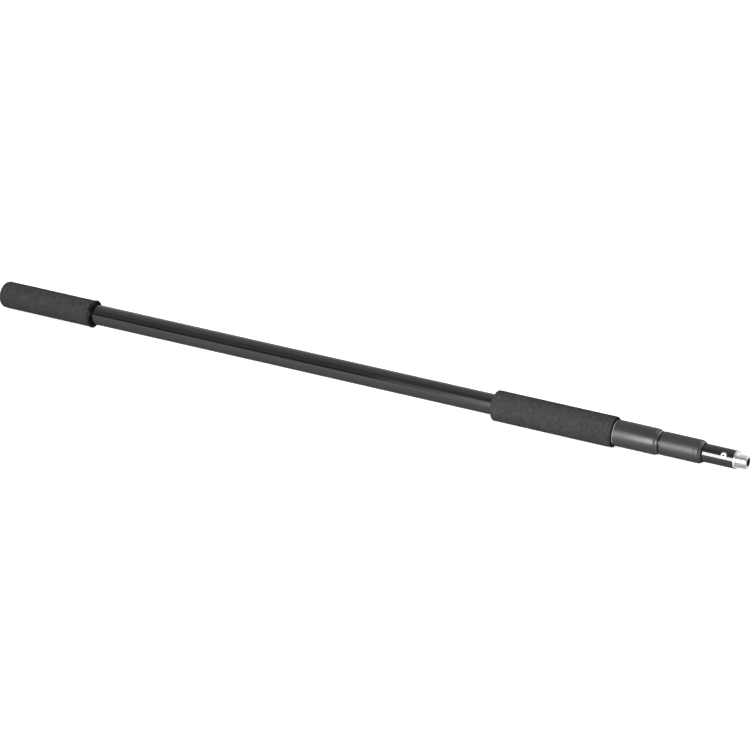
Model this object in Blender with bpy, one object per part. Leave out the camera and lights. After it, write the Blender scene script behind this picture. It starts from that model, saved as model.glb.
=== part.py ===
"""Three-section telescopic boom pole, collapsed, lying along +X.

The origin is the centre of the flat butt face; +X runs along the pole to the microphone spigot; +Z is up.
Every turned piece is a closed profile of (x, radius) points in millimetres, spun about the pole's axis.
"""

import math

import bmesh
import bpy
from mathutils import Vector

# ---- driving dimensions, millimetres -------------------------------------------------------------------------------
SEGMENTS = 24  # facets round every turned piece, all in the same phase, so that running fits keep their clearance

OUTER_TUBE_OD, OUTER_TUBE_ID = 22.4, 21.3
MIDDLE_TUBE_OD, MIDDLE_TUBE_ID = 21.0, 19.9
INNER_TUBE_OD, INNER_TUBE_ID = 19.6, 18.5

REAR_GRIP_OD, REAR_GRIP_END = 29.9, 115.1
RING_OD, RING_START, RING_END, RING_CORNER = 31.1, 115.2, 118.3, 1.3
FRONT_GRIP_OD, FRONT_GRIP_START, FRONT_GRIP_END = 33.5, 608.6, 747.2
GRIP_BORE = 22.9
BUTT_ROUND = 6.2  # radius of the rounded butt end, which the plug and the rear grip share
GRIP_CORNER = 1.4  # radius of the other grip edges

COLLAR_1_OD, COLLAR_1_REAR, COLLAR_1_SHOULDER, COLLAR_1_NOSE = 28.3, 747.7, 793.6, 799.0
COLLAR_2_OD, COLLAR_2_REAR, COLLAR_2_SHOULDER, COLLAR_2_NOSE = 25.3, 799.9, 843.6, 848.0
COLLAR_1_NOSE_OD, COLLAR_2_NOSE_OD = 25.2, 21.8
FERRULE_1_OD, FERRULE_2_OD = 24.6, 22.7

OUTER_TUBE_REAR, OUTER_TUBE_FRONT = 2.9, 772.2
MIDDLE_TUBE_REAR, MIDDLE_TUBE_FRONT = 36.3, 824.2
INNER_TUBE_REAR, INNER_TUBE_FRONT = 69.9, 881.7

FLANGE_OD, FLANGE_REAR, FLANGE_FRONT = 19.9, 882.0, 884.6
SPIGOT_OD, SPIGOT_END = 15.875, 896.1  # 5/8 inch - 27 male
SOCKET_D = 8.1  # core diameter of the 3/8 inch - 16 female thread
RIVET_X, RIVET_HEAD_D, RIVET_SHANK_D, RIVET_BORE_D = 871.4, 6.8, 3.2, 1.8
RIVET_ANGLE = 37.0  # degrees above the horizontal, on the -Y side

MIDDLE_TRAVEL, INNER_TRAVEL = 640.0, 660.0  # how far each section slides out
RUN = 0.10  # radial running clearance of collet, ferrule and wiper bores
GUIDE_RUN = 0.04  # radial running clearance of the split guide rings
BOND = 0.10  # radial gap of pieces that are bonded together
BEAD = 0.05  # how far a rolled stop bead stands into its tube
THREAD_GAP = 0.15  # radial gap between a nut's skirt and its ferrule, where the threads run

MM = 0.001


# ---- helpers -------------------------------------------------------------------------------------------------------
def clear_scene():
    for obj in list(bpy.data.objects):
        bpy.data.objects.remove(obj, do_unlink=True)


def material(name, colour, roughness, metallic=0.0):
    mat = bpy.data.materials.new(name)
    mat.use_nodes = True
    shader = mat.node_tree.nodes["Principled BSDF"]
    shader.inputs["Base Color"].default_value = (*colour, 1.0)
    shader.inputs["Roughness"].default_value = roughness
    shader.inputs["Metallic"].default_value = metallic
    return mat


def corner(x, r, radius, start, end, steps=4):
    """Points of a rounded corner about (x, r), from angle start to end in degrees, 0 along +x and 90 outwards."""
    points = []
    for i in range(steps + 1):
        a = math.radians(start + (end - start) * i / steps)
        points.append((x + radius * math.cos(a), r + radius * math.sin(a)))
    return points


def turned(name, profile, mat, parent=None, closed=True):
    """Spins a profile about the X axis. A closed profile is a ring's section; an open one starts and ends on the axis."""
    mesh = bpy.data.meshes.new(name)
    bm = bmesh.new()
    verts = [bm.verts.new((x * MM, 0.0, r * MM)) for x, r in profile]
    edges = [bm.edges.new((a, b)) for a, b in zip(verts, verts[1:])]
    if closed:
        edges.append(bm.edges.new((verts[-1], verts[0])))
    bmesh.ops.spin(
        bm,
        geom=verts + edges,
        cent=(0, 0, 0),
        axis=(1, 0, 0),
        dvec=(0, 0, 0),
        angle=math.tau,
        steps=SEGMENTS,
        use_merge=True,
        use_normal_flip=False,
        use_duplicate=False,
    )
    bmesh.ops.remove_doubles(bm, verts=bm.verts[:], dist=1e-6)
    bmesh.ops.dissolve_degenerate(bm, dist=1e-7, edges=bm.edges[:])
    bmesh.ops.recalc_face_normals(bm, faces=bm.faces[:])
    bm.to_mesh(mesh)
    bm.free()
    mesh.materials.append(mat)
    mesh.shade_smooth()
    mesh.set_sharp_from_angle(angle=math.radians(32))
    obj = bpy.data.objects.new(name, mesh)
    bpy.context.scene.collection.objects.link(obj)
    obj.parent = parent
    return obj


def empty(name, parent=None):
    """An empty on the pole's axis, which is the axis of every slide and swivel."""
    obj = bpy.data.objects.new(name, None)
    bpy.context.scene.collection.objects.link(obj)
    obj.parent = parent
    return obj


def box_cutter(name, low, high, turn=0.0):
    """A box from low to high in millimetres, turned about the pole's axis by turn degrees."""
    mesh = bpy.data.meshes.new(name)
    bm = bmesh.new()
    bmesh.ops.create_cube(bm, size=1.0)
    size = [b - a for a, b in zip(low, high)]
    middle = [(a + b) / 2 for a, b in zip(low, high)]
    for v in bm.verts:
        v.co = Vector([(v.co[i] * size[i] + middle[i]) * MM for i in range(3)])
    bm.to_mesh(mesh)
    bm.free()
    obj = bpy.data.objects.new(name, mesh)
    obj.rotation_euler = (math.radians(turn), 0, 0)
    obj.hide_render = True
    obj.display_type = "WIRE"
    bpy.context.scene.collection.objects.link(obj)
    return obj


def radial_frame():
    """Turns an object whose +Z is its own axis so that +Z points out at the near rivet."""
    a = math.radians(RIVET_ANGLE)
    out = Vector((0, -math.cos(a), math.sin(a)))
    return Vector((0, 0, 1)).rotation_difference(out).to_euler()


def cut(obj, cutter):
    mod = obj.modifiers.new(cutter.name, "BOOLEAN")
    mod.operation = "DIFFERENCE"
    mod.solver = "EXACT"
    mod.object = cutter


# ---- pieces --------------------------------------------------------------------------------------------------------
def tube(name, rear, front, od, bore, bead_x, mat, parent):
    """A drawn tube with small edge breaks, and a rolled bead that stops the guide ring sliding inside it."""
    ro, ri, c = od / 2, bore / 2, 0.15
    outside = [(rear, ro - c), (rear + c, ro)]
    inside = []
    if bead_x:
        groove = BEAD + 0.02
        outside += [(bead_x, ro), (bead_x + 1.2, ro - groove), (bead_x + 2.4, ro)]
        inside += [(bead_x + 2.0, ri), (bead_x + 1.2, ri - BEAD), (bead_x + 0.4, ri)]
    outside += [(front - c, ro), (front, ro - c)]
    profile = outside + [(front, ri)] + inside + [(rear, ri)]
    return turned(name, profile, mat, parent)


def dome_angle(r):
    """Where the butt's rounding reaches radius r, in degrees, for corner()."""
    return 180 - math.degrees(math.asin((r - REAR_GRIP_OD / 2 + BUTT_ROUND) / BUTT_ROUND))


def grip(name, rear, end, od, mat, parent):
    """A foam sleeve on the outer tube. rear holds the profile of its rear end, from the bore outwards."""
    ro, ri = od / 2, GRIP_BORE / 2
    profile = rear + corner(end - GRIP_CORNER, ro - GRIP_CORNER, GRIP_CORNER, 90, 0, 2)
    profile += [(end, ri)]
    return turned(name, profile, mat, parent)


def end_ring(name, mat, parent):
    """The rounded rubber ring that closes the front end of the rear grip."""
    ro, ri, c = RING_OD / 2, GRIP_BORE / 2, RING_CORNER
    profile = [(RING_START, ri)]
    profile += corner(RING_START + c, ro - c, c, 180, 90, 3)
    profile += corner(RING_END - c, ro - c, c, 90, 0, 3)
    profile += [(RING_END, ri)]
    return turned(name, profile, mat, parent)


def end_plug(name, head_x, tube_rear, moving_bore, ring_bore, mat, parent):
    """The plug in a sliding tube's rear end: a head, a neck that carries the split guide ring, a shoulder, and a hollow
    shank glued inside the tube."""
    shank = moving_bore / 2 - 0.15
    neck = ring_bore / 2 - 0.15
    head = neck + 1.4
    shoulder = moving_bore / 2 + 0.45
    hollow = shank - 2.4
    profile = [
        (head_x, 0.0),
        (head_x, head),
        (head_x + 2.5, head),
        (head_x + 2.5, neck),
        (tube_rear - 2.9, neck),
        (tube_rear - 2.9, shoulder),
        (tube_rear - 0.3, shoulder),
        (tube_rear - 0.3, shank),
        (tube_rear + 14.4, shank),
        (tube_rear + 14.4, hollow),
        (tube_rear + 4.0, hollow),
        (tube_rear + 4.0, 0.0),
    ]
    return turned(name, profile, mat, parent, closed=False)


def guide_ring(name, start, end, bore, od, mat, parent):
    """A split wear ring, snapped over the plug's neck, which slides in the next tube out."""
    ri, ro = bore / 2, od / 2
    profile = [(start, ri), (start, ro), (end, ro), (end, ri)]
    ring = turned(name, profile, mat, parent)
    slit = box_cutter(name + "_slit", (start - 2, -0.9, ri - 1.5), (end + 2, 0.9, ro + 1.5), turn=7.5)
    cut(ring, slit)
    return ring


def bumper(name, seat_x, face_x, stem_start, stem_d, pad_d, mat, parent):
    """A rubber pad on a stem that pushes into the plug behind it. A collapsing section lands on its face."""
    stem, pad = stem_d / 2, pad_d / 2
    profile = [
        (stem_start, 0.0),
        (stem_start, stem),
        (seat_x, stem),
        (seat_x, pad),
        (face_x, pad - 0.5),
        (face_x, 0.0),
    ]
    return turned(name, profile, mat, parent, closed=False)


class Lock:
    """One twist lock: a threaded ferrule on a tube's end, and the nut, sleeve, washer, collet and wiper round the next
    tube in."""

    def __init__(self, number, rear, shoulder, nose, od, nose_od, ferrule_od, tube_od, tube_front, moving_od):
        self.n = number
        self.rear, self.shoulder, self.nose = rear, shoulder, nose
        self.r, self.nose_r = od / 2, nose_od / 2
        self.f = ferrule_od / 2
        self.t = tube_od / 2
        self.end = tube_front
        self.m = moving_od / 2

    def cone(self, x):
        """Radius of the ferrule's conical mouth at x."""
        return self.m + 0.35 + 0.13 * (x - (self.end + 3.3))

    def ferrule(self, name, mat, parent):
        e, f, m = self.end, self.f, self.m
        bore = self.t + BOND
        profile = [
            (self.rear + 1.0, bore),
            (self.rear + 1.0, f - 0.5),
            (self.rear + 4.0, f),
        ]
        profile += [(e + 9.2, f), (e + 9.2, self.cone(e + 9.2))]
        profile += [(e + 3.3, self.cone(e + 3.3)), (e + 3.3, m + RUN), (e + 0.3, m + RUN), (e + 0.3, bore)]
        return turned(name, profile, mat, parent)

    def collet(self, mat, parent):
        e, f, m = self.end, self.f, self.m
        gap = 0.1
        name = f"collet_{self.n}"
        profile = [
            (e + 3.9, m + RUN),
            (e + 3.9, self.cone(e + 3.9) - gap),
            (e + 9.2, self.cone(e + 9.2) - gap),
            (e + 10.0, self.cone(e + 9.2) - gap),
            (e + 10.0, f - 0.1),
            (e + 14.0, f - 0.1),
            (e + 14.0, m + RUN),
        ]
        ring = turned(name, profile, mat, parent)
        slit = box_cutter(name + "_slit", (e, -0.6, m - 1.5), (e + 18, 0.6, f + 2), turn=7.5)
        cut(ring, slit)
        for i in range(1, 4):
            kerf = box_cutter(
                f"{name}_kerf_{i}", (e, -0.4, m - 1.5), (e + 9.0, 0.4, m + 4), turn=7.5 + 90 * i
            )
            cut(ring, kerf)
        return ring

    def washer(self, mat, parent):
        e, f, m = self.end, self.f, self.m
        profile = [(e + 14.3, m + 0.3), (e + 14.3, f - 0.2), (e + 15.1, f - 0.2), (e + 15.1, m + 0.3)]
        return turned(f"thrust_washer_{self.n}", profile, mat, parent)

    def nut(self, mat, parent):
        """The metal nut: a skirt threaded on the ferrule, a thrust wall, and a groove for the wiper."""
        e, f, m = self.end, self.f, self.m
        outer = self.r - 0.75
        front = self.nose - 1.6
        groove_a, groove_b = front - 3.6, front - 1.2
        tip = self.nose_r - 0.75
        cone_start = self.shoulder - 0.6
        profile = [
            (self.rear + 0.3, f + THREAD_GAP),
            (self.rear + 0.3, outer),
            (cone_start, outer),
            (front, min(tip + 0.25, outer)),
            (front, m + 0.15),
            (groove_b, m + 0.15),
            (groove_b, m + 0.8),
            (groove_a, m + 0.8),
            (groove_a, m + 0.15),
            (e + 15.4, m + 0.15),
            (e + 15.4, f + THREAD_GAP),
        ]
        return turned(f"collar_{self.n}_nut", profile, mat, parent)

    def wiper(self, mat, parent):
        m = self.m
        front = self.nose - 1.6
        groove_a, groove_b = front - 3.6, front - 1.2
        profile = [(groove_a + 0.3, m + RUN), (groove_a + 0.3, m + 0.7), (groove_b - 0.3, m + 0.7)]
        profile += [(groove_b - 0.3, m + RUN)]
        return turned(f"wiper_{self.n}", profile, mat, parent)

    def sleeve(self, mat, parent):
        """The grip sleeve moulded over the nut, with a chamfered rear rim and a conical nose."""
        m, r, tip = self.m, self.r, self.nose_r
        inner = r - 0.65
        front = self.nose - 1.6
        cone_start = self.shoulder - 0.6
        profile = [(self.rear, inner), (self.rear, r - 0.5), (self.rear + 0.7, r)]
        profile += [
            (self.shoulder - 0.8, r),
            (self.shoulder + 0.4, r - 0.42),
            (self.nose - 0.5, tip),
            (self.nose, tip - 0.5),
            (self.nose, m + 0.25),
            (front + 0.25, m + 0.25),
            (front + 0.25, min(tip - 0.35, inner)),
            (cone_start, inner),
        ]
        return turned(f"collar_{self.n}_sleeve", profile, mat, parent)


def tip_insert(mat, parent):
    """Shank inside the inner tube, flange against the tube's end, and the threaded spigot with a threaded socket."""
    shank = INNER_TUBE_ID / 2 - 0.1
    flange, spigot, socket = FLANGE_OD / 2, SPIGOT_OD / 2, SOCKET_D / 2
    profile = [
        (858.0, 6.4),
        (858.0, shank),
        (FLANGE_REAR, shank),
        (FLANGE_REAR, flange),
        (FLANGE_FRONT - 0.3, flange),
        (FLANGE_FRONT, flange - 0.3),
        (FLANGE_FRONT, spigot),
        (SPIGOT_END - 0.7, spigot),
        (SPIGOT_END, spigot - 0.7),
        (SPIGOT_END, socket),
        (880.0, socket),
        (878.0, 6.4),
    ]
    return turned("tip_insert", profile, mat, parent)


def rivet(name, side, mat, parent):
    """A pop rivet through the inner tube and the insert's shank: domed head, hollow shank, spread blind end."""
    seat = INNER_TUBE_OD / 2
    head, shank, bore = RIVET_HEAD_D / 2, RIVET_SHANK_D / 2, RIVET_BORE_D / 2
    profile = [(bore, 4.6), (shank + 0.6, 4.8), (shank + 0.6, 5.6), (shank, 5.6)]
    low = math.sqrt(seat**2 - shank**2)
    profile += [(shank, seat + 0.12), (head - 0.15, seat + 0.12), (head, seat + 0.25)]
    for i in range(1, 4):
        a = math.radians(22.5 * i)
        profile.append((head * math.cos(a) + 0.25 * math.sin(a), seat + 0.25 + 0.95 * math.sin(a)))
    profile += [(bore + 0.2, seat + 1.2), (bore, seat + 0.95)]
    mesh = bpy.data.meshes.new(name)
    bm = bmesh.new()
    verts = [bm.verts.new((r * MM, 0.0, h * MM)) for r, h in profile]
    edges = [bm.edges.new((a, b)) for a, b in zip(verts, verts[1:] + verts[:1])]
    bmesh.ops.spin(
        bm, geom=verts + edges, cent=(0, 0, 0), axis=(0, 0, 1), dvec=(0, 0, 0), angle=math.tau, steps=16, use_merge=True
    )
    bmesh.ops.remove_doubles(bm, verts=bm.verts[:], dist=1e-6)
    bmesh.ops.recalc_face_normals(bm, faces=bm.faces[:])
    bm.to_mesh(mesh)
    bm.free()
    mesh.materials.append(mat)
    mesh.shade_smooth()
    mesh.set_sharp_from_angle(angle=math.radians(32))
    obj = bpy.data.objects.new(name, mesh)
    bpy.context.scene.collection.objects.link(obj)
    obj.location = (RIVET_X * MM, 0, 0)
    obj.rotation_euler = radial_frame()
    if side == "far":
        obj.rotation_euler.rotate_axis("X", math.pi)
    obj.parent = parent
    return obj


def cross_hole():
    """The drill for both rivet holes, straight through the pole."""
    mesh = bpy.data.meshes.new("rivet_drill")
    bm = bmesh.new()
    r = (RIVET_SHANK_D / 2 + 0.15) * MM
    bmesh.ops.create_cone(bm, cap_ends=True, segments=16, radius1=r, radius2=r, depth=0.04)
    bm.to_mesh(mesh)
    bm.free()
    obj = bpy.data.objects.new("rivet_drill", mesh)
    obj.location = (RIVET_X * MM, 0, 0)
    obj.rotation_euler = radial_frame()
    obj.hide_render = True
    obj.display_type = "WIRE"
    bpy.context.scene.collection.objects.link(obj)
    return obj


def build():
    clear_scene()
    anodised = material("black_anodised", (0.012, 0.012, 0.013), 0.18, 0.6)
    foam = material("grip_foam", (0.055, 0.055, 0.057), 0.92)
    softtouch = material("collar_sleeve", (0.07, 0.07, 0.073), 0.42)
    nylon = material("black_nylon", (0.03, 0.03, 0.03), 0.5)
    acetal = material("white_acetal", (0.75, 0.74, 0.7), 0.45)
    rubber = material("bumper_rubber", (0.02, 0.02, 0.02), 0.8)
    metal = material("turned_aluminium", (0.66, 0.66, 0.68), 0.28, 1.0)
    bright = material("bright_nickel", (0.82, 0.82, 0.83), 0.2, 1.0)
    felt = material("wiper_felt", (0.1, 0.1, 0.1), 0.95)

    outer = empty("outer_section")
    guide_1 = empty("guide_1", outer)
    middle = empty("middle_section", guide_1)
    guide_2 = empty("guide_2", middle)
    inner = empty("inner_section", guide_2)
    clamp_1 = empty("clamp_1", outer)
    collar_1 = empty("collar_1", clamp_1)
    clamp_2 = empty("clamp_2", middle)
    collar_2 = empty("collar_2", clamp_2)

    # outer section
    bead_1 = MIDDLE_TUBE_REAR - 3.2 + MIDDLE_TRAVEL
    bead_2 = INNER_TUBE_REAR - 3.2 + INNER_TRAVEL
    tube("outer_tube", OUTER_TUBE_REAR, OUTER_TUBE_FRONT, OUTER_TUBE_OD, OUTER_TUBE_ID, bead_1, anodised, outer)
    butt_r = REAR_GRIP_OD / 2 - BUTT_ROUND
    rounded = corner(BUTT_ROUND, butt_r, BUTT_ROUND, dome_angle(GRIP_BORE / 2), 90, 5)
    grip("rear_grip", rounded, REAR_GRIP_END, REAR_GRIP_OD, foam, outer)
    end_ring("rear_grip_ring", rubber, outer)
    square = [(FRONT_GRIP_START, GRIP_BORE / 2)]
    square += corner(FRONT_GRIP_START + GRIP_CORNER, FRONT_GRIP_OD / 2 - GRIP_CORNER, GRIP_CORNER, 180, 90, 2)
    grip("front_grip", square, FRONT_GRIP_END, FRONT_GRIP_OD, foam, outer)
    plug_r = OUTER_TUBE_ID / 2 - 0.1
    head_r = OUTER_TUBE_OD / 2
    plug = [(0.0, 0.0)] + corner(BUTT_ROUND, butt_r, BUTT_ROUND, 180, dome_angle(head_r), 3)
    plug += [(2.6, head_r), (2.6, plug_r)]
    plug += [(18.0, plug_r), (18.0, 7.6), (6.0, 7.6), (6.0, 0.0)]
    turned("butt_plug", plug, nylon, outer, closed=False)
    bumper("butt_bumper", 18.3, 21.4, 9.0, 14.6, 19.4, rubber, outer)

    # middle section, and the guide ring it swivels in
    end_plug("middle_end_plug", 21.9, MIDDLE_TUBE_REAR, MIDDLE_TUBE_ID, 15.5, nylon, middle)
    guide_ring("middle_guide_ring", 24.7, 33.1, 15.5, OUTER_TUBE_ID - 2 * GUIDE_RUN, acetal, guide_1)
    tube("middle_tube", MIDDLE_TUBE_REAR, MIDDLE_TUBE_FRONT, MIDDLE_TUBE_OD, MIDDLE_TUBE_ID, bead_2, anodised, middle)
    bumper("middle_bumper", 51.0, 54.9, 43.0, 13.6, 18.2, rubber, middle)

    # inner section, and its guide ring
    end_plug("inner_end_plug", 55.5, INNER_TUBE_REAR, INNER_TUBE_ID, 14.1, nylon, inner)
    guide_ring("inner_guide_ring", 58.3, 66.7, 14.1, MIDDLE_TUBE_ID - 2 * GUIDE_RUN, acetal, guide_2)
    inner_tube = tube("inner_tube", INNER_TUBE_REAR, INNER_TUBE_FRONT, INNER_TUBE_OD, INNER_TUBE_ID, None, anodised, inner)
    insert = tip_insert(bright, inner)
    drill = cross_hole()
    cut(inner_tube, drill)
    cut(insert, drill)
    rivet("tip_rivet_near", "near", bright, inner)
    rivet("tip_rivet_far", "far", bright, inner)

    # twist locks
    lock_1 = Lock(
        1, COLLAR_1_REAR, COLLAR_1_SHOULDER, COLLAR_1_NOSE, COLLAR_1_OD, COLLAR_1_NOSE_OD,
        FERRULE_1_OD, OUTER_TUBE_OD, OUTER_TUBE_FRONT, MIDDLE_TUBE_OD,
    )  # fmt: skip
    lock_2 = Lock(
        2, COLLAR_2_REAR, COLLAR_2_SHOULDER, COLLAR_2_NOSE, COLLAR_2_OD, COLLAR_2_NOSE_OD,
        FERRULE_2_OD, MIDDLE_TUBE_OD, MIDDLE_TUBE_FRONT, INNER_TUBE_OD,
    )  # fmt: skip
    lock_1.ferrule("outer_ferrule", metal, outer)
    lock_2.ferrule("middle_ferrule", metal, middle)
    for lock, clamp, collar in ((lock_1, clamp_1, collar_1), (lock_2, clamp_2, collar_2)):
        lock.collet(acetal, clamp)
        lock.washer(acetal, clamp)
        lock.nut(metal, collar)
        lock.wiper(felt, collar)
        lock.sleeve(softtouch, collar)


build()
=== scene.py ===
"""The looks of the boom pole: fine turned pieces, foam grips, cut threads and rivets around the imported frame, a pale
floor, soft studio light and the camera. Metres, in the frame's own axes: +X from the butt to the spigot, +Z up."""

import math

import bpy
import numpy as np
from mathutils import Matrix, Vector, noise


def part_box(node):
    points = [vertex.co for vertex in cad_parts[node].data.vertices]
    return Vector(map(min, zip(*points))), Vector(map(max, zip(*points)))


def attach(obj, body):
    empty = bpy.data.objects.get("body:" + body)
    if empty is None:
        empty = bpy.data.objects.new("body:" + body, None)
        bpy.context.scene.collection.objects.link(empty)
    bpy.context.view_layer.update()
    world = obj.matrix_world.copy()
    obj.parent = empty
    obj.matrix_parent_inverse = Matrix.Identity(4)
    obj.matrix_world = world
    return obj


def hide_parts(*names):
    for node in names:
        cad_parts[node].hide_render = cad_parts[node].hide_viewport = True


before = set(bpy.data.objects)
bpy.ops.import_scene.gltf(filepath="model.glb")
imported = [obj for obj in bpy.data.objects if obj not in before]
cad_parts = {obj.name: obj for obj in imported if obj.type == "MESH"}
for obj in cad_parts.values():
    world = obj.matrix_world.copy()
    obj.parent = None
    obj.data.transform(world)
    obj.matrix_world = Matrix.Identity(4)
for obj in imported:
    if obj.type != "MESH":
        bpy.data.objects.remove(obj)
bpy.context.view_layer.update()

MM = 0.001
SCENE = bpy.context.scene


def span(node):
    """A node's first and last station along the pole and its largest radius, in millimetres."""
    low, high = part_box(node)
    return low.x / MM, high.x / MM, high.z / MM


# ---- mesh tools ----------------------------------------------------------------------------------------------------
def arc(x, r, radius, start, end, steps=6):
    """Points of a rounded corner about (x, r): 0 degrees points along +X and 90 away from the axis."""
    return [
        (
            x + radius * math.cos(math.radians(start + (end - start) * i / steps)),
            r + radius * math.sin(math.radians(start + (end - start) * i / steps)),
        )
        for i in range(steps + 1)
    ]


def run(x0, x1, r, step):
    """Evenly spaced rows between two stations at one radius, both ends left out."""
    n = max(1, round(abs(x1 - x0) / step))
    return [(x0 + (x1 - x0) * i / n, r) for i in range(1, n)]


def turned(name, profile, body, mat, segments=128, closed=True, relief=None, sharp=28.0):
    """A surface of revolution about X with real relief: relief(x, angle, r, row) gives a radius in place of r.
    A closed profile makes a ring; an open one starts and ends on the axis."""
    rows = profile if closed else profile[1:-1]
    verts, faces = [], []
    for k, (x, r) in enumerate(rows):
        for j in range(segments):
            a = math.tau * j / segments
            rr = relief(x, a, r, k) if relief else r
            verts.append((x * MM, -rr * math.sin(a) * MM, rr * math.cos(a) * MM))
    n = len(rows)
    pairs = [(i, i + 1) for i in range(n - 1)] + ([(n - 1, 0)] if closed else [])
    for i, k in pairs:
        for j in range(segments):
            jj = (j + 1) % segments
            faces.append((i * segments + j, k * segments + j, k * segments + jj, i * segments + jj))
    if not closed:
        for end, row in ((profile[0], 0), (profile[-1], n - 1)):
            verts.append((end[0] * MM, 0.0, 0.0))
            c = len(verts) - 1
            for j in range(segments):
                jj = (j + 1) % segments
                tri = (c, row * segments + j, row * segments + jj)
                faces.append(tri if row == 0 else tri[::-1])
    mesh = bpy.data.meshes.new(name)
    mesh.from_pydata(verts, [], faces)
    mesh.validate()
    volume = 0.0
    for p in mesh.polygons:
        a = mesh.vertices[p.vertices[0]].co
        for i in range(1, len(p.vertices) - 1):
            b, c = mesh.vertices[p.vertices[i]].co, mesh.vertices[p.vertices[i + 1]].co
            volume += a.dot(b.cross(c))
    if volume < 0:
        mesh.flip_normals()
    mesh.materials.append(mat)
    mesh.shade_smooth()
    mesh.set_sharp_from_angle(angle=math.radians(sharp))
    obj = bpy.data.objects.new(name, mesh)
    SCENE.collection.objects.link(obj)
    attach(obj, body)
    return obj


# ---- material tools ------------------------------------------------------------------------------------------------
class Mat:
    """A Principled material with its node tree, in the object's own coordinates."""

    def __init__(self, name, colour, roughness, metallic=0.0, **sockets):
        self.mat = bpy.data.materials.new(name)
        self.mat.use_nodes = True
        self.tree = self.mat.node_tree
        self.shader = self.tree.nodes["Principled BSDF"]
        self.put("Base Color", (*colour, 1.0))
        self.put("Roughness", roughness)
        self.put("Metallic", metallic)
        for key, value in sockets.items():
            self.put(key.replace("_", " "), value)
        self.coords = self.tree.nodes.new("ShaderNodeTexCoord").outputs["Object"]

    def put(self, socket, value):
        self.shader.inputs[socket].default_value = value

    def node(self, kind, inputs=None, **props):
        n = self.tree.nodes.new(kind)
        for key, value in props.items():
            setattr(n, key, value)
        for key, value in (inputs or {}).items():
            if hasattr(value, "is_output"):
                self.tree.links.new(value, n.inputs[key])
            else:
                n.inputs[key].default_value = value
        return n

    def link(self, output, socket):
        self.tree.links.new(output, self.shader.inputs[socket] if isinstance(socket, str) else socket)

    def stretched(self, x=1.0, y=1.0, z=1.0):
        return self.node("ShaderNodeMapping", {"Vector": self.coords, "Scale": (x, y, z)}).outputs["Vector"]

    def noise(self, scale, detail=3.0, rough=0.55, vector=None, distortion=0.0):
        return self.node(
            "ShaderNodeTexNoise",
            {
                "Vector": vector or self.coords,
                "Scale": scale,
                "Detail": detail,
                "Roughness": rough,
                "Distortion": distortion,
            },
        ).outputs["Fac"]

    def cells(self, scale, vector=None, feature="F1"):
        return self.node(
            "ShaderNodeTexVoronoi", {"Vector": vector or self.coords, "Scale": scale}, feature=feature
        ).outputs["Distance"]

    def ramp(self, value, low, high, a, b):
        """value mapped from low..high onto a..b, clamped."""
        return self.node(
            "ShaderNodeMapRange",
            {"Value": value, "From Min": low, "From Max": high, "To Min": a, "To Max": b},
        ).outputs["Result"]

    def math(self, operation, a, b=0.0):
        return self.node("ShaderNodeMath", {0: a, 1: b}, operation=operation).outputs[0]

    def mix(self, factor, a, b):
        n = self.tree.nodes.new("ShaderNodeMix")
        n.data_type = "RGBA"
        for socket, value in ((n.inputs[0], factor), (n.inputs[6], a), (n.inputs[7], b)):
            if hasattr(value, "is_output"):
                self.tree.links.new(value, socket)
            else:
                socket.default_value = value
        return n.outputs[2]

    def bump(self, height, distance, strength=1.0, normal=None):
        inputs = {"Height": height, "Distance": distance, "Strength": strength}
        if normal is not None:
            inputs["Normal"] = normal
        return self.node("ShaderNodeBump", inputs).outputs["Normal"]


def grey(v, tint=0.0):
    return (v, v, v * (1.0 + tint), 1.0)


def edges_of(m, low=0.54, high=0.60):
    """0 on faces and 1 on convex edges, from the surface's own pointiness."""
    g = m.node("ShaderNodeNewGeometry")
    return m.ramp(g.outputs["Pointiness"], low, high, 0.0, 1.0)


def anodised_material():
    """Gloss black anodising on a drawn tube: long drawing lines, a little haze and a few fine rubs."""
    m = Mat("black_anodised", (0.0022, 0.0022, 0.0024), 0.1, IOR=1.65)
    along = m.stretched(0.9, 60.0, 60.0)
    lines = m.noise(16.0, 4.0, 0.6, along)
    haze = m.noise(24.0, 4.0, 0.6, m.stretched(0.5, 1.0, 1.0))
    rough = m.math("ADD", m.ramp(lines, 0.35, 0.7, 0.07, 0.12), m.ramp(haze, 0.4, 0.75, 0.0, 0.05))
    m.link(rough, "Roughness")
    tone = m.ramp(haze, 0.3, 0.75, 0.0, 1.0)
    m.link(m.mix(tone, (0.0016, 0.0016, 0.0018, 1), (0.0036, 0.0036, 0.0038, 1)), "Base Color")
    rubs = m.noise(46.0, 6.0, 0.7, m.stretched(0.25, 3.0, 3.0), 0.6)
    height = m.math("ADD", m.ramp(lines, 0.2, 0.8, 0.0, 1.0), m.ramp(rubs, 0.62, 0.7, 0.0, 0.6))
    m.link(m.bump(height, 0.0000015, 0.6), "Normal")
    return m.mat


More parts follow.
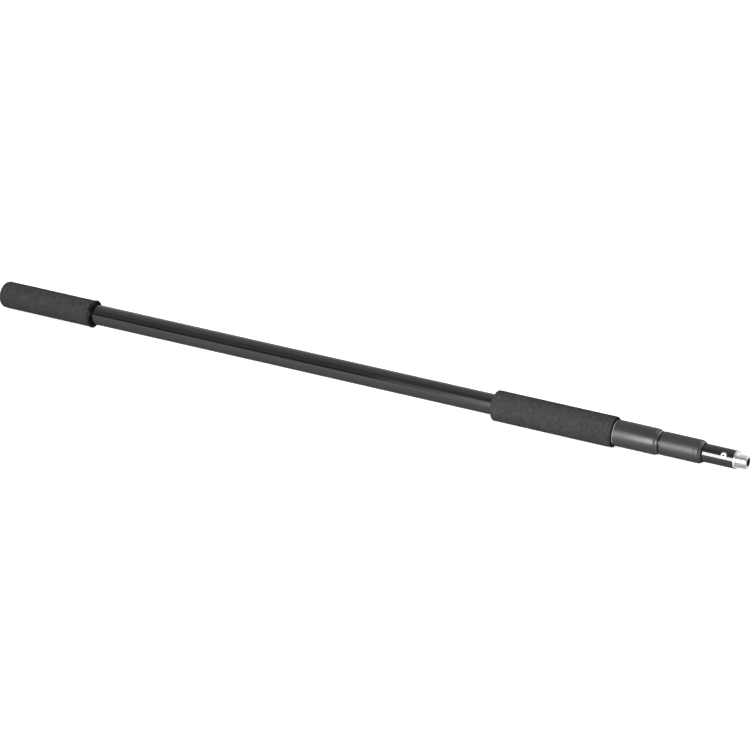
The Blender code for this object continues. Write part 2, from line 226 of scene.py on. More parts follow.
def foam_material():
    """Closed-cell foam rubber: tiny cells, skinned on the outside. The end faces are painted near black as painted
    shade, and the pores are painted darker as painted shade in their pits.
    """
    m = Mat("grip_foam", (0.03, 0.03, 0.03), 0.95, Specular_IOR_Level=0.12)
    cells = m.cells(1500.0)
    fine = m.noise(1900.0, 3.0, 0.7)
    blotch = m.noise(38.0, 4.0, 0.6, m.stretched(0.7, 1.0, 1.0))
    pores = m.cells(620.0)
    speck = m.ramp(fine, 0.30, 0.72, 0.0, 1.0)
    tone = m.mix(speck, grey(0.022), grey(0.038))
    tone = m.mix(m.ramp(blotch, 0.3, 0.72, 0.0, 0.5), tone, grey(0.034))
    mottle = m.noise(210.0, 3.0, 0.6)
    tone = m.mix(m.ramp(mottle, 0.36, 0.5, 0.34, 0.0), tone, grey(0.014))
    tone = m.mix(m.ramp(mottle, 0.52, 0.68, 0.0, 0.45), tone, grey(0.05))
    # painted shade: the pores' pits are painted darker
    tone = m.mix(m.ramp(pores, 0.16, 0.05, 0.0, 0.75), tone, grey(0.010))
    normal = m.node("ShaderNodeNewGeometry").outputs["Normal"]
    local = m.node(
        "ShaderNodeVectorTransform", {"Vector": normal}, convert_from="WORLD", convert_to="OBJECT", vector_type="NORMAL"
    ).outputs["Vector"]
    x = m.node("ShaderNodeSeparateXYZ", {"Vector": local}).outputs["X"]
    # painted shade: faces turned along the pole, the grips' end faces, are painted near black
    cut = m.ramp(m.math("ABSOLUTE", x), 0.80, 0.97, 0.0, 1.0)
    m.link(m.mix(cut, tone, grey(0.004)), "Base Color")
    height = m.math("ADD", m.math("MULTIPLY", cells, 1.0), m.math("MULTIPLY", fine, 0.8))
    height = m.math("ADD", height, m.ramp(pores, 0.0, 0.2, 0.0, 1.2))
    m.link(m.bump(height, 0.00016, 0.75), "Normal")
    return m.mat


def sleeve_material():
    """Satin moulded grip sleeve: a fine spark-eroded grain, a little handling polish, paler worn edges."""
    m = Mat("collar_sleeve", (0.014, 0.014, 0.014), 0.48, IOR=1.53)
    grain = m.noise(2600.0, 3.0, 0.6)
    cloud = m.noise(60.0, 4.0, 0.6)
    worn = edges_of(m, 0.515, 0.56)
    tone = m.mix(m.ramp(cloud, 0.3, 0.75, 0.0, 1.0), grey(0.012), grey(0.016))
    m.link(m.mix(m.math("MULTIPLY", worn, 0.6), tone, grey(0.12)), "Base Color")
    place = m.node("ShaderNodeSeparateXYZ", {"Vector": m.coords}).outputs["X"]
    handled = m.math("MULTIPLY", m.ramp(place, 0.762, 0.790, 0.0, 1.0), m.ramp(place, 0.7994, 0.7998, 1.0, 0.0))
    rough = m.math("SUBTRACT", m.ramp(cloud, 0.3, 0.75, 0.45, 0.52), m.math("MULTIPLY", handled, 0.13))
    m.link(rough, "Roughness")
    m.link(m.bump(grain, 0.000012, 0.5), "Normal")
    return m.mat


def nose_material():
    """The collars' cones and lips, smoother than their grip sleeves."""
    m = Mat("collar_nose", (0.012, 0.012, 0.012), 0.26, IOR=1.85)
    cloud = m.noise(80.0, 4.0, 0.6)
    m.link(m.mix(m.ramp(cloud, 0.3, 0.75, 0.0, 1.0), grey(0.009), grey(0.015)), "Base Color")
    m.link(m.ramp(cloud, 0.3, 0.75, 0.22, 0.3), "Roughness")
    m.link(m.bump(m.noise(2400.0, 3.0), 0.000004, 0.5), "Normal")
    return m.mat


def bright_material(name, pale, dull, low, high):
    """Bright nickel over turned metal, with the fine rings the lathe leaves and a little staining. The threaded socket
    in the end is painted dark, a painted shade of the inside of the hole."""
    m = Mat(name, (pale, pale, pale), low, 1.0)
    rings = m.noise(900.0, 3.0, 0.6, m.stretched(6.0, 0.02, 0.02))
    smear = m.noise(150.0, 4.0, 0.6)
    tone = m.mix(m.ramp(smear, 0.35, 0.75, 0.0, 1.0), grey(pale, 0.01), grey(dull, 0.012))
    across = m.node("ShaderNodeVectorMath", {0: m.stretched(0.0, 1.0, 1.0)}, operation="LENGTH").outputs["Value"]
    # painted shade: inside the socket's radius the colour is near black
    m.link(m.mix(m.ramp(across, 0.0047, 0.00495, 0.0, 1.0), grey(0.02), tone), "Base Color")
    m.link(m.math("ADD", m.ramp(rings, 0.3, 0.7, low, low + 0.07), m.ramp(smear, 0.4, 0.8, 0.0, high - low - 0.07)), "Roughness")
    m.link(m.bump(rings, 0.000003, 0.5), "Normal")
    return m.mat


def turned_material():
    """Machined aluminium, left bare, with turning rings."""
    m = Mat("turned_aluminium", (0.62, 0.62, 0.64), 0.32, 1.0)
    rings = m.noise(700.0, 4.0, 0.65, m.stretched(7.0, 0.02, 0.02))
    m.link(m.ramp(rings, 0.3, 0.7, 0.26, 0.42), "Roughness")
    m.link(m.mix(m.ramp(m.noise(90.0), 0.3, 0.7, 0.0, 1.0), grey(0.64, 0.02), grey(0.55, 0.02)), "Base Color")
    m.link(m.bump(rings, 0.000006, 0.6), "Normal")
    return m.mat


def plastic_material(name, dark, pale, roughness, grain_scale=1800.0, grain=0.00001):
    """Moulded plastic: fine mould grain, slow tone change, and edges a shade paler where they rub."""
    m = Mat(name, (dark, dark, dark), roughness)
    cloud = m.noise(70.0, 4.0, 0.6)
    tone = m.mix(m.ramp(cloud, 0.3, 0.72, 0.0, 1.0), grey(dark), grey(pale, -0.02))
    m.link(m.mix(m.math("MULTIPLY", edges_of(m), 0.5), tone, grey(min(1.0, pale * 1.5))), "Base Color")
    m.link(m.ramp(cloud, 0.3, 0.72, roughness - 0.05, roughness + 0.06), "Roughness")
    m.link(m.bump(m.noise(grain_scale, 3.0), grain, 0.5), "Normal")
    return m.mat


def felt_material():
    """Felt wiper: matted fibres."""
    m = Mat("wiper_felt", (0.05, 0.05, 0.05), 1.0, Specular_IOR_Level=0.1)
    fibres = m.noise(1600.0, 6.0, 0.8, m.stretched(1.0, 0.35, 0.35), 1.5)
    m.link(m.mix(m.ramp(fibres, 0.3, 0.7, 0.0, 1.0), grey(0.02), grey(0.09)), "Base Color")
    m.link(m.bump(fibres, 0.0001, 0.8), "Normal")
    m.put("Sheen Weight", 0.3)
    return m.mat


def floor_material():
    """Pale seamless paper, washed out to white. The pole gets back less of its light than the eye does: glossy rays see
    a painted shadow on it, darker under and just in front of the pole and under the tip, and diffuse rays see it
    dimmer.
    """
    m = Mat("pale_floor", (0.75, 0.75, 0.75), 0.9, Specular_IOR_Level=0.1)
    tooth = m.noise(420.0, 3.0, 0.6)
    path = m.node("ShaderNodeLightPath")
    paper = m.mix(m.ramp(m.noise(3.0, 2.0), 0.3, 0.7, 0.0, 1.0), grey(0.745), grey(0.755))
    place = m.node("ShaderNodeSeparateXYZ", {"Vector": m.coords})
    # painted shadow: for glossy rays the floor darkens towards and under the pole, by the stops below
    shade = m.node("ShaderNodeValToRGB", {"Fac": m.ramp(place.outputs["Y"], -0.03, 0.03, 0.0, 1.0)})
    stops = [(-0.03, 1.0), (-0.0186, 0.84), (-0.0109, 0.6), (-0.0045, 0.42), (0.0, 0.2), (0.004, 0.1), (0.03, 0.1)]
    elements = shade.color_ramp.elements
    while len(elements) > 1:
        elements.remove(elements[-1])
    for i, (y, value) in enumerate(stops):
        element = elements[0] if i == 0 else elements.new((y + 0.03) / 0.06)
        element.position = (y + 0.03) / 0.06
        element.color = (value, value, value, 1)
    # painted shade: under the tip's end the floor on the camera's side is dimmed for glossy rays
    beyond = m.ramp(place.outputs["Y"], -0.004, 0.006, 0.58, 1.0)
    under = m.mix(m.ramp(place.outputs["X"], 0.875, 0.89, 0.0, 1.0), shade.outputs["Color"], beyond)
    dim = m.node("ShaderNodeVectorMath", {0: paper, 1: under}, operation="MULTIPLY").outputs[0]
    seen = m.mix(path.outputs["Is Glossy Ray"], paper, dim)
    m.link(m.mix(path.outputs["Is Diffuse Ray"], seen, grey(0.34)), "Base Color")
    m.link(m.bump(tooth, 0.00004, 0.15), "Normal")
    m.put("Emission Color", (1, 1, 1, 1))
    m.link(m.math("MULTIPLY", path.outputs["Is Camera Ray"], 0.62), "Emission Strength")
    return m.mat


ANODISED = anodised_material()
FOAM = foam_material()
SLEEVE = sleeve_material()
NOSE = nose_material()
# painted highlight: the first collar's rear rim is painted pale to show the bright edge a light makes on it
RIM_PAINTED_HIGHLIGHT = plastic_material("rim_painted_highlight", 0.20, 0.26, 0.36, 1500.0, 0.000006)
# painted shade: near black for the sleeve's own front face inside the lip, the shaded gap in front of it
SEAL_PAINTED_SHADE = plastic_material("seal_face_painted_shade", 0.002, 0.004, 0.8, 1500.0, 0.00001)
# painted shade: a dark copy of the sleeve plastic for the step behind the lip and the second collar's rear rim
GROOVE_PAINTED_SHADE = plastic_material("collar_groove_painted_shade", 0.008, 0.013, 0.62, 1500.0, 0.00001)
BRIGHT = bright_material("bright_nickel", 0.82, 0.7, 0.1, 0.24)
RIVET = bright_material("rivet_nickel", 0.9, 0.82, 0.34, 0.46)
TURNED = turned_material()
NYLON = plastic_material("black_nylon", 0.018, 0.03, 0.42)
ACETAL = plastic_material("white_acetal", 0.62, 0.72, 0.4, 900.0, 0.000006)
RUBBER = plastic_material("bumper_rubber", 0.012, 0.022, 0.72, 1200.0, 0.00002)
RING_RUBBER = plastic_material("ring_rubber", 0.002, 0.005, 0.32, 1500.0, 0.00001)
RING_RUBBER.node_tree.nodes["Principled BSDF"].inputs["Specular IOR Level"].default_value = 0.16
SEAL_PAINTED_SHADE.node_tree.nodes["Principled BSDF"].inputs["Specular IOR Level"].default_value = 0.1
FELT = felt_material()


# ---- tubes ---------------------------------------------------------------------------------------------------------
def make_tube(name, node, body, bore, bead=None):
    """A drawn tube with broken edges. A bead is the shallow rolled groove that stops the guide ring inside it."""
    x0, x1, r = span(node)
    e = 0.16
    outside = arc(x0 + e, r - e, e, 180, 90, 4)
    if bead:
        outside += [
            (bead + 2.4 * i / 8, r - 0.035 * (1 - math.cos(math.tau * i / 8)))
            for i in range(9)
        ]
    outside += arc(x1 - e, r - e, e, 90, 0, 4)
    profile = outside + [(x1, bore + 0.05), (x1 - 0.05, bore), (x0 + 0.05, bore), (x0, bore + 0.05)]
    tube = turned(name, profile, body, ANODISED, segments=160)
    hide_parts(node)
    return tube


make_tube("outer_tube_shell", "outer_tube", "outer_section", 10.65, 673.1)
make_tube("middle_tube_shell", "middle_tube", "middle_section", 9.95, 726.7)
make_tube("inner_tube_shell", "inner_tube", "inner_section", 9.25)


# ---- foam grips ----------------------------------------------------------------------------------------------------
GRIP_BORE = 11.32
BUTT_ROUND = 6.2


def butt_dome(r_from, r_to, steps):
    """Rows of the butt's rounding between two radii; the plug and the foam share it."""
    centre = span("rear_grip")[2] - BUTT_ROUND
    a, b = (180 - math.degrees(math.asin(min(1.0, (r - centre) / BUTT_ROUND))) for r in (r_from, r_to))
    return arc(BUTT_ROUND, centre, BUTT_ROUND, a, b, steps)


def make_grip(name, node, rear, front_edge, seed):
    """A moulded foam sleeve: rounded ends, a slightly uneven hand-soft surface and open pores you can feel. rear holds
    the rows of its rear end, from the bore outwards."""
    x0, x1, r = span(node)
    bore = GRIP_BORE
    face = 0.8
    n = 5
    rows = list(rear)
    rows += run(rear[-1][0], x1 - front_edge, r, 0.75)
    rows += arc(x1 - front_edge, r - front_edge, front_edge, 90, 0, 5)
    rows += [(x1, r - front_edge + (bore + face - r + front_edge) * i / n) for i in range(1, n)]
    rows += arc(x1 - face, bore + face, face, 0, -90, 3)
    rows += [(rear[0][0] + face, bore)]

    def relief(x, a, rr, k):
        if rr < bore + 1.0:
            return rr
        p = Vector((x, r * math.sin(a), r * math.cos(a)))
        slow = noise.noise(p * 0.045 + Vector((seed, 0, 0)))
        mid = noise.noise(p * 0.22 + Vector((0, seed, 0)))
        pore = noise.noise(p * 0.95 + Vector((0, 0, seed)))
        dent = max(0.0, pore - 0.28) * 0.16
        ease = min(1.0, (rr - bore - 1.0) / 1.5)
        return rr + ease * (0.09 * slow + 0.035 * mid - dent - 0.06)

    grip = turned(name, rows, "outer_section", FOAM, segments=150, relief=relief, sharp=60.0)
    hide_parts(node)
    return grip


def square_end(x0, r, edge):
    """Rows of a cut rear face with a rounded edge."""
    inner = GRIP_BORE + 0.8
    rows = [(x0 + 0.8, GRIP_BORE)] + arc(x0 + 0.8, inner, 0.8, -90, -180, 3)[1:]
    rows += [(x0, inner + (r - edge - inner) * i / 5) for i in range(1, 5)]
    return rows + arc(x0 + edge, r - edge, edge, 180, 90, 8)


rear_rows = [(2.2, GRIP_BORE), (1.45, GRIP_BORE + 0.1)] + butt_dome(GRIP_BORE + 0.3, span("rear_grip")[2], 18)
make_grip("rear_grip_foam", "rear_grip", rear_rows, 0.9, 3.7)
front_rows = square_end(span("front_grip")[0], span("front_grip")[2], 1.9)
make_grip("front_grip_foam", "front_grip", front_rows, 1.9, 11.3)


def make_end_ring():
    """The rubber ring that closes the rear grip: a rounded crown, a moulded parting line and a dished front face."""
    x0, x1, r = span("rear_grip_ring")
    c = 1.45
    profile = [(x0, GRIP_BORE), (x0, r - c)] + arc(x0 + c, r - c, c, 180, 90, 8)
    seam = (x0 + x1) / 2
    profile += [(seam - 0.12, r), (seam, r - 0.06), (seam + 0.12, r)]
    profile += arc(x1 - c, r - c, c, 90, 0, 8)
    profile += [(x1, r - 2.1), (x1 - 0.25, r - 2.4), (x1 - 0.35, GRIP_BORE + 0.5)]
    profile += arc(x1 - 0.75, GRIP_BORE + 0.4, 0.4, 0, -90, 4)
    ring = turned("rear_grip_ring_moulding", profile, "outer_section", RING_RUBBER, segments=128)
    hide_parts("rear_grip_ring")


make_end_ring()


# ---- butt plug -----------------------------------------------------------------------------------------------------
def make_butt_plug():
    """The moulded plug in the butt: a flat face with a shallow ring moulded in it, ribs on its shank, hollow inside."""
    x0, x1, r = span("butt_plug")
    shank = 10.5
    flat = span("rear_grip")[2] - BUTT_ROUND
    profile = [(x0, 0.0), (x0, 4.0), (x0 + 0.35, 4.4), (x0 + 0.35, 5.8), (x0, 6.2)]
    profile += butt_dome(flat, r - 0.25, 6)
    profile += arc(1.35, r - 0.25, 0.25, 135, 90, 3)
    profile += arc(2.4, r - 0.2, 0.2, 90, 0, 3)
    profile += [(2.6, shank)]
    for rib in (5.0, 8.5, 12.0):
        profile += [(rib, shank - 0.25), (rib + 0.9, shank + 0.09), (rib + 1.3, shank + 0.09), (rib + 1.5, shank - 0.25)]
    profile += arc(x1 - 0.8, shank - 0.9, 0.8, 90, 0, 4) + [(x1, 7.6), (6.4, 7.6), (6.0, 7.2), (6.0, 0.0)]
    plug = turned("butt_plug_moulding", profile, "outer_section", NYLON, segments=96, closed=False)
    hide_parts("butt_plug")


make_butt_plug()


# ---- collars -------------------------------------------------------------------------------------------------------
def make_sleeve(name, node, body, shoulder, lip_r, lip_x, moving_r, ring):
    """The satin sleeve of a twist lock: a chamfered rear rim, painted pale on the first as a painted highlight and
    painted dark on the second as painted shade of the gap behind it, a long plain barrel, a step behind the rounded lip
    painted dark as painted shade, and, where the lip stops short of the end, a seal step in front. The front face
    inside the lip is painted near black as painted shade of the gap in front of it."""
    x0, x1, r = span(node)
    inner = r - 0.65
    front = x1 - 1.35
    profile = [(x0, inner + 0.05), (x0, r - 0.75)]
    profile += arc(x0 + 0.25, r - 0.72, 0.25, 180, 112, 3)
    profile += [(x0 + 0.7, r - 0.24)]
    profile += arc(x0 + 1.15, r - 0.5, 0.5, 108, 90, 3)
    if ring:
        g = shoulder - 4.7
        profile += [(g - 0.5, r), (g - 0.25, r - 0.05), (g, r - 0.19), (g + 0.3, r - 0.19), (g + 0.55, r - 0.05)]
        profile += [(g + 0.8, r)]
    profile += arc(shoulder - 0.5, r - 1.0, 1.0, 90, 62, 5)
    profile += [(shoulder + 0.55, r - 0.62), (shoulder + 1.25, r - 0.74), (shoulder + 1.7, r - 0.72)]
    bulge = 1.7
    profile += [p for p in arc(lip_x - bulge, lip_r - bulge, bulge, 74, 0, 10) if p[1] > moving_r + 0.5]
    if lip_x < x1 - 0.5:
        seal = moving_r + 0.62
        profile += [(lip_x, seal - 0.1), (lip_x + 0.02, seal)]
        profile += arc(x1 - 0.35, seal - 0.3, 0.3, 90, 0, 4)
    profile += [(x1 - 0.05, moving_r + 0.28), (x1 - 0.25, moving_r + 0.25)]
    profile += [(front, moving_r + 0.25), (front, min(lip_r - 0.9, inner - 0.3)), (shoulder - 1.0, inner)]
    sleeve = turned(name, profile, body, SLEEVE, segments=160, sharp=34.0)
    for mat in (NOSE, RIM_PAINTED_HIGHLIGHT, SEAL_PAINTED_SHADE, GROOVE_PAINTED_SHADE):
        sleeve.data.materials.append(mat)
    for p in sleeve.data.polygons:
        x, away = p.center.x / MM, math.hypot(p.center.y, p.center.z) / MM
        # painted shade: the front face inside the lip
        if x > lip_x - 0.02 and away < lip_r - 0.8:
            p.material_index = 3
        # painted shade: the step behind the lip
        elif shoulder + 0.4 < x < shoulder + 1.6:
            p.material_index = 4
        elif x > shoulder + 0.1:
            p.material_index = 1
        # painted highlight on the first collar's rear rim, painted shade on the second's
        elif x < x0 + (0.6 if ring else 1.12) and away > r - 0.8:
            p.material_index = 4 if ring else 2
    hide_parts(node)
    return sleeve


make_sleeve("collar_1_grip_sleeve", "collar_1_sleeve", "collar_1", 794.5, 12.75, 798.9, 10.5, False)
make_sleeve("collar_2_grip_sleeve", "collar_2_sleeve", "collar_2", 843.6, 11.45, 846.9, 9.8, True)


# ---- tip insert ----------------------------------------------------------------------------------------------------
def thread_height(x, a, pitch, turn=1.0):
    """0 at the root and 1 at the crest of a single-start right-hand thread, with small flats."""
    phase = (x / pitch + turn * a / math.tau) % 1.0
    tri = 1.0 - abs(2.0 * phase - 1.0)
    return min(1.0, max(0.0, (tri - 0.14) / 0.68))


def make_tip():
    """The turned insert: flange, 5/8 inch - 27 spigot and 3/8 inch - 16 socket, with both threads cut for real."""
    x0, x1, flange = span("tip_insert")
    flange_rear, flange_front = 882.0, 884.6
    major, depth, pitch = 15.875 / 2, 0.50, 25.4 / 27
    socket, socket_depth, socket_pitch = 4.05, 0.62, 25.4 / 16
    shank = 9.15
    profile = [(x0, 6.6), (x0, shank - 0.4), (x0 + 0.4, shank), (flange_rear, shank)]
    profile += arc(flange_rear + 0.2, flange - 0.2, 0.2, 180, 90, 4)
    profile += arc(flange_front - 0.4, flange - 0.4, 0.4, 90, 0, 6)
    profile += [(flange_front, major - 0.45)] + arc(flange_front + 0.18, major - 0.42, 0.18, 180, 270, 3)
    first = len(profile)
    begin, end = flange_front + 0.9, x1 - 0.55
    count = round((end - begin) / 0.075)
    profile += [(begin + (end - begin) * i / count, major) for i in range(count + 1)]
    last = len(profile)
    profile += [(x1 - 0.5, major - 0.28), (x1 - 0.12, major - 0.66), (x1, major - 0.78)]
    profile += [(x1, socket + 1.0), (x1 - 0.06, socket + 0.86)]
    inside_first = len(profile)
    inner_end = 880.0
    inner_count = round((x1 - 0.7 - inner_end) / 0.12)
    profile += [(x1 - 0.7 + (inner_end - x1 + 0.7) * i / inner_count, socket) for i in range(inner_count + 1)]
    inside_last = len(profile)
    profile += [(878.0, 6.6)]

    def relief(x, a, r, k):
        if first <= k < last:
            fade = min(1.0, (x - begin) / 0.5, (end - x) / 0.35 + 0.25)
            low = major - 0.6 if x < begin + 0.5 else major - depth
            return low + (major - low) * thread_height(x, a, pitch) * fade
        if inside_first <= k < inside_last:
            fade = min(1.0, max(0.0, (x1 - 0.7 - x) / 0.4 + 0.3), (x - inner_end) / 0.8)
            return socket + socket_depth * thread_height(x, -a, socket_pitch, -1.0) * fade
        return r

    tip = turned("tip_insert_turned", profile, "inner_section", BRIGHT, segments=128, relief=relief, sharp=40.0)
    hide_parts("tip_insert")
    return tip


make_tip()


# ---- rivets --------------------------------------------------------------------------------------------------------
def make_rivet(name, node, side):
    """A pop rivet: flat-domed head with a rolled rim, a hollow shank, and the snapped mandrel down in the hole."""
    seat, head, shank, bore = 9.8, 3.4, 1.6, 1.08
    profile = [(bore, 4.7), (shank + 0.55, 4.9), (shank + 0.65, 5.2), (shank + 0.5, 5.5), (shank, 5.7)]
    profile += [(shank, seat + 0.02), (shank + 0.5, seat + 0.06), (head - 0.25, seat + 0.06)]
    profile += [(head - 0.05, seat + 0.14), (head, seat + 0.3)]
    for i in range(1, 10):
        a = math.radians(90 * i / 10)
        profile.append(((head - 0.9) * math.cos(a) + 0.9 * (math.cos(a) ** 3) + 0.0, seat + 0.3 + 0.92 * math.sin(a)))
    profile = [p for p in profile if p[0] >= bore or p[1] < seat]
    profile = [p for p in profile if not (p[1] > seat + 0.5 and p[0] < bore + 0.5)]
    profile += [(bore + 0.42, seat + 1.21), (bore + 0.16, seat + 1.16), (bore + 0.02, seat + 0.98), (bore, seat + 0.8)]
    steps = 64
    verts, faces = [], []
    for r, h in profile:
        for j in range(steps):
            a = math.tau * j / steps
            verts.append((r * MM * math.cos(a), r * MM * math.sin(a), h * MM))
    n = len(profile)
    for i in range(n):
        k = (i + 1) % n
        for j in range(steps):
            jj = (j + 1) % steps
            faces.append((i * steps + j, i * steps + jj, k * steps + jj, k * steps + j))
    mesh = bpy.data.meshes.new(name)
    mesh.from_pydata(verts, [], faces)
    mesh.validate()
    volume = sum(
        mesh.vertices[p.vertices[0]].co.dot(
            mesh.vertices[p.vertices[1]].co.cross(mesh.vertices[p.vertices[2]].co)
        )
        for p in mesh.polygons
    )
    if volume < 0:
        mesh.flip_normals()
    pin = bpy.data.meshes.new(name + "_mandrel")
    rows = [(0.0, 4.0), (1.05, 4.1), (1.3, 4.5), (0.9, 4.9), (1.0, 5.0), (1.02, seat + 0.6), (0.92, seat + 0.78), (0.5, seat + 0.88), (0.0, seat + 0.82)]
    pv, pf = [], []
    for r, h in rows[1:-1]:
        for j in range(24):
            a = math.tau * j / 24
            pv.append((r * MM * math.cos(a), r * MM * math.sin(a), h * MM))
    for i in range(len(rows) - 3):
        for j in range(24):
            jj = (j + 1) % 24
            pf.append((i * 24 + j, i * 24 + jj, (i + 1) * 24 + jj, (i + 1) * 24 + j))
    pv += [(0, 0, rows[0][1] * MM), (0, 0, rows[-1][1] * MM)]
    b, t = len(pv) - 2, len(pv) - 1
    for j in range(24):
        jj = (j + 1) % 24
        pf.append((b, jj, j))
        pf.append((t, (len(rows) - 3) * 24 + j, (len(rows) - 3) * 24 + jj))
    pin.from_pydata(pv, [], pf)
    pin.validate()
    low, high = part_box(node)
    middle = (low + high) / 2
    angle = math.radians(37.0)
    out = Vector((0, -math.cos(angle), math.sin(angle)))
    if side == "far":
        out = -out
    turn = Vector((0, 0, 1)).rotation_difference(out).to_matrix().to_4x4()
    turn.translation = Vector((middle.x, 0, 0))
    made = []
    for data, label, mat in ((mesh, name, RIVET), (pin, name + "_mandrel", MANDREL)):
        data.transform(turn)
        data.materials.append(mat)
        data.shade_smooth()
        data.set_sharp_from_angle(angle=math.radians(35))
        obj = bpy.data.objects.new(label, data)
        SCENE.collection.objects.link(obj)
        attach(obj, "inner_section")
        made.append(obj)
    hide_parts(node)
    return made


def mandrel_material():
    """The broken end of the steel mandrel: dull and rough, painted near black as painted shade of the hole it sits in.
    """
    m = Mat("snapped_mandrel", (0.02, 0.02, 0.02), 0.7, 0.0, Specular_IOR_Level=0.2)
    # painted shade: near-black colour for the mandrel down in the rivet's hole
    m.link(m.mix(m.ramp(m.noise(4000.0), 0.3, 0.7, 0.0, 1.0), grey(0.006), grey(0.02)), "Base Color")
    m.link(m.bump(m.noise(5000.0, 4.0), 0.00006, 0.9), "Normal")
    return m.mat


MANDREL = mandrel_material()
make_rivet("tip_rivet_near_head", "tip_rivet_near", "near")
make_rivet("tip_rivet_far_head", "tip_rivet_far", "far")


# ---- the inner works keep their CAD shape --------------------------------------------------------------------------
for node, mat in {
    "butt_bumper": RUBBER,
    "outer_ferrule": TURNED,
    "middle_guide_ring": ACETAL,
    "middle_end_plug": NYLON,
    "middle_bumper": RUBBER,
    "middle_ferrule": TURNED,
    "inner_guide_ring": ACETAL,
    "inner_end_plug": NYLON,
    "collet_1": ACETAL,
    "collet_2": ACETAL,
    "thrust_washer_1": ACETAL,
    "thrust_washer_2": ACETAL,
    "collar_1_nut": TURNED,
    "collar_2_nut": TURNED,
    "wiper_1": FELT,
    "wiper_2": FELT,
}.items():
    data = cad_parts[node].data
    data.materials.clear()
    data.materials.append(mat)


# ---- floor ---------------------------------------------------------------------------------------------------------
floor_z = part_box("front_grip")[0].z - 0.0002
grid, side = 24, 9.0
verts = [
    (side * (i / grid - 0.5) + 0.45, side * (j / grid - 0.5), floor_z) for j in range(grid + 1) for i in range(grid + 1)
]
faces = [
    (j * (grid + 1) + i, j * (grid + 1) + i + 1, (j + 1) * (grid + 1) + i + 1, (j + 1) * (grid + 1) + i)
    for j in range(grid)
    for i in range(grid)
]
floor_mesh = bpy.data.meshes.new("floor")
floor_mesh.from_pydata(verts, [], faces)
floor_mesh.materials.append(floor_material())
floor = bpy.data.objects.new("floor", floor_mesh)
SCENE.collection.objects.link(floor)


# ---- light ---------------------------------------------------------------------------------------------------------
def studio_world():
    """A soft white studio. What gloss sees of it changes with the angle round the pole: a pale wall in front, a dark
    slot above it, and a dimmer ceiling. It is dimmer too past the tip's end of the set."""
    world = bpy.data.worlds.new("studio")
    world.use_nodes = True
    tree = world.node_tree
    tree.nodes.clear()

    def add(kind, inputs=None, **props):
        n = tree.nodes.new(kind)
        for key, value in props.items():
            setattr(n, key, value)
        for key, value in (inputs or {}).items():
            if hasattr(value, "is_output"):
                tree.links.new(value, n.inputs[key])
            else:
                n.inputs[key].default_value = value
        return n

    split = add("ShaderNodeSeparateXYZ", {0: add("ShaderNodeTexCoord").outputs["Generated"]})
    front = add("ShaderNodeMath", {0: split.outputs["Y"], 1: -1.0}, operation="MULTIPLY")
    turn = add("ShaderNodeMath", {0: split.outputs["Z"], 1: front.outputs[0]}, operation="ARCTAN2")
    scaled = add("ShaderNodeMapRange", {"Value": turn.outputs[0], "From Min": -math.pi, "From Max": math.pi})
    ramp = add("ShaderNodeValToRGB", {"Fac": scaled.outputs[0]})
    stops = [
        (-180, 0.15),
        (-88, 0.15),
        (-75, 0.45),
        (-58, 0.75),
        (-42, 1.05),
        (-28, 1.4),
        (-2, 1.4),
        (12, 1.4),
        (18, 0.30),
        (21, 0.10),
        (31, 0.10),
        (38, 0.40),
        (55, 0.42),
        (76, 0.36),
        (88, 0.62),
        (105, 0.66),
        (120, 0.64),
        (140, 0.64),
        (154, 0.75),
        (180, 0.75),
    ]
    elements = ramp.color_ramp.elements
    while len(elements) > 1:
        elements.remove(elements[-1])
    for i, (deg, value) in enumerate(stops):
        element = elements[0] if i == 0 else elements.new((deg + 180) / 360)
        element.position = (deg + 180) / 360
        element.color = (value / 2, value / 2, value / 2, 1)
    tip = add(
        "ShaderNodeMapRange",
        {"Value": split.outputs["X"], "From Min": 0.3, "From Max": 0.9, "To Min": 2.0, "To Max": 1.1},
    )
    above = add(
        "ShaderNodeMapRange",
        {"Value": turn.outputs[0], "From Min": math.radians(92), "From Max": math.radians(112), "To Min": 0.0},
    )
    onward = add("ShaderNodeMapRange", {"Value": split.outputs["X"], "From Min": 0.0, "From Max": 0.25, "To Max": 2.0})
    extra = add("ShaderNodeMath", {0: above.outputs[0], 1: onward.outputs[0]}, operation="MULTIPLY")
    lift = add("ShaderNodeMath", {0: extra.outputs[0], 1: 1.0}, operation="ADD")
    power = add("ShaderNodeMath", {0: tip.outputs[0], 1: lift.outputs[0]}, operation="MULTIPLY")
    gloss = add("ShaderNodeBackground", {"Color": ramp.outputs["Color"], "Strength": power.outputs[0]})
    wall = add(
        "ShaderNodeMapRange",
        {"Value": split.outputs["X"], "From Min": -0.1, "From Max": 0.8, "To Min": 1.3, "To Max": 0.25},
    )
    soft = add("ShaderNodeBackground", {"Color": (1, 1, 1, 1), "Strength": wall.outputs[0]})
    white = add("ShaderNodeBackground", {"Color": (1, 1, 1, 1), "Strength": 1.2})
    path = add("ShaderNodeLightPath")
    blend = add("ShaderNodeMixShader", {0: path.outputs["Is Glossy Ray"], 1: soft.outputs[0], 2: gloss.outputs[0]})
    seen = add("ShaderNodeMixShader", {0: path.outputs["Is Camera Ray"], 1: blend.outputs[0], 2: white.outputs[0]})
    add("ShaderNodeOutputWorld", {"Surface": seen.outputs[0]})
    SCENE.world = world


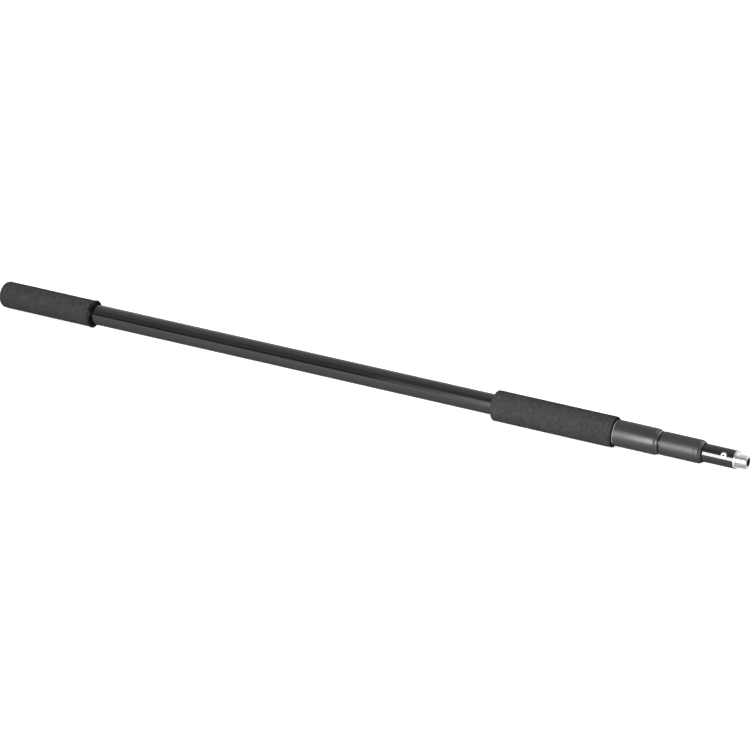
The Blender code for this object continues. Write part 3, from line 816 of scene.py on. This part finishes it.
def softbox(name, x0, x1, low, high, away, radiance, glossy=True, diffuse=True):
    """An upright rectangular soft light in front of the pole, from x0 to x1 along it and from low to high degrees
    above the horizon as seen from its axis, away metres off."""
    middle = math.radians((low + high) / 2)
    data = bpy.data.lights.new(name, "AREA")
    data.shape = "RECTANGLE"
    data.size, data.size_y = x1 - x0, 2 * away * math.tan(math.radians((high - low) / 2))
    data.energy = radiance * math.pi * data.size * data.size_y
    obj = bpy.data.objects.new(name, data)
    SCENE.collection.objects.link(obj)
    centre = Vector(((x0 + x1) / 2, -away * math.cos(middle), away * math.sin(middle)))
    obj.location = centre
    obj.rotation_euler = (Vector((centre.x, 0, 0)) - centre).to_track_quat("-Z", "Y").to_euler()
    obj.visible_glossy = glossy
    obj.visible_diffuse = diffuse
    return obj


studio_world()
softbox("key", 0.28, 0.80, 0.0, 35.0, 1.0, 15.4)
softbox("key_edge", 0.15, 0.28, 14.0, 42.0, 1.0, 1.5)
softbox("key_spill", 0.02, 0.15, 16.0, 42.0, 1.0, 0.8)

softbox("nose_light", 0.90, 1.35, 6.0, 34.0, 1.0, 4.5, diffuse=False)

# ---- camera --------------------------------------------------------------------------------------------------------
AZIMUTH, ELEVATION = math.radians(26.4), math.radians(27.3)
FOCAL = 3900.0  # in pixels of a 750-pixel frame
DISTANCE = 4.2
ROLL = math.radians(-0.05)
forward = Vector(
    (
        -math.sin(AZIMUTH) * math.cos(ELEVATION),
        math.cos(AZIMUTH) * math.cos(ELEVATION),
        -math.sin(ELEVATION),
    )
)
data = bpy.data.cameras.new("camera")
data.sensor_fit = "HORIZONTAL"
data.sensor_width = 36.0
data.lens = FOCAL / 750.0 * 36.0
camera = bpy.data.objects.new("camera", data)
SCENE.collection.objects.link(camera)
target = Vector((0.4652, 0.0, 0.0032))
camera.location = target - forward * DISTANCE
level = forward.to_track_quat("-Z", "Y").to_matrix()
camera.rotation_euler = (level @ Matrix.Rotation(ROLL, 3, "Z")).to_euler()
SCENE.camera = camera

SCENE.view_settings.view_transform = "Standard"
SCENE.view_settings.look = "None"
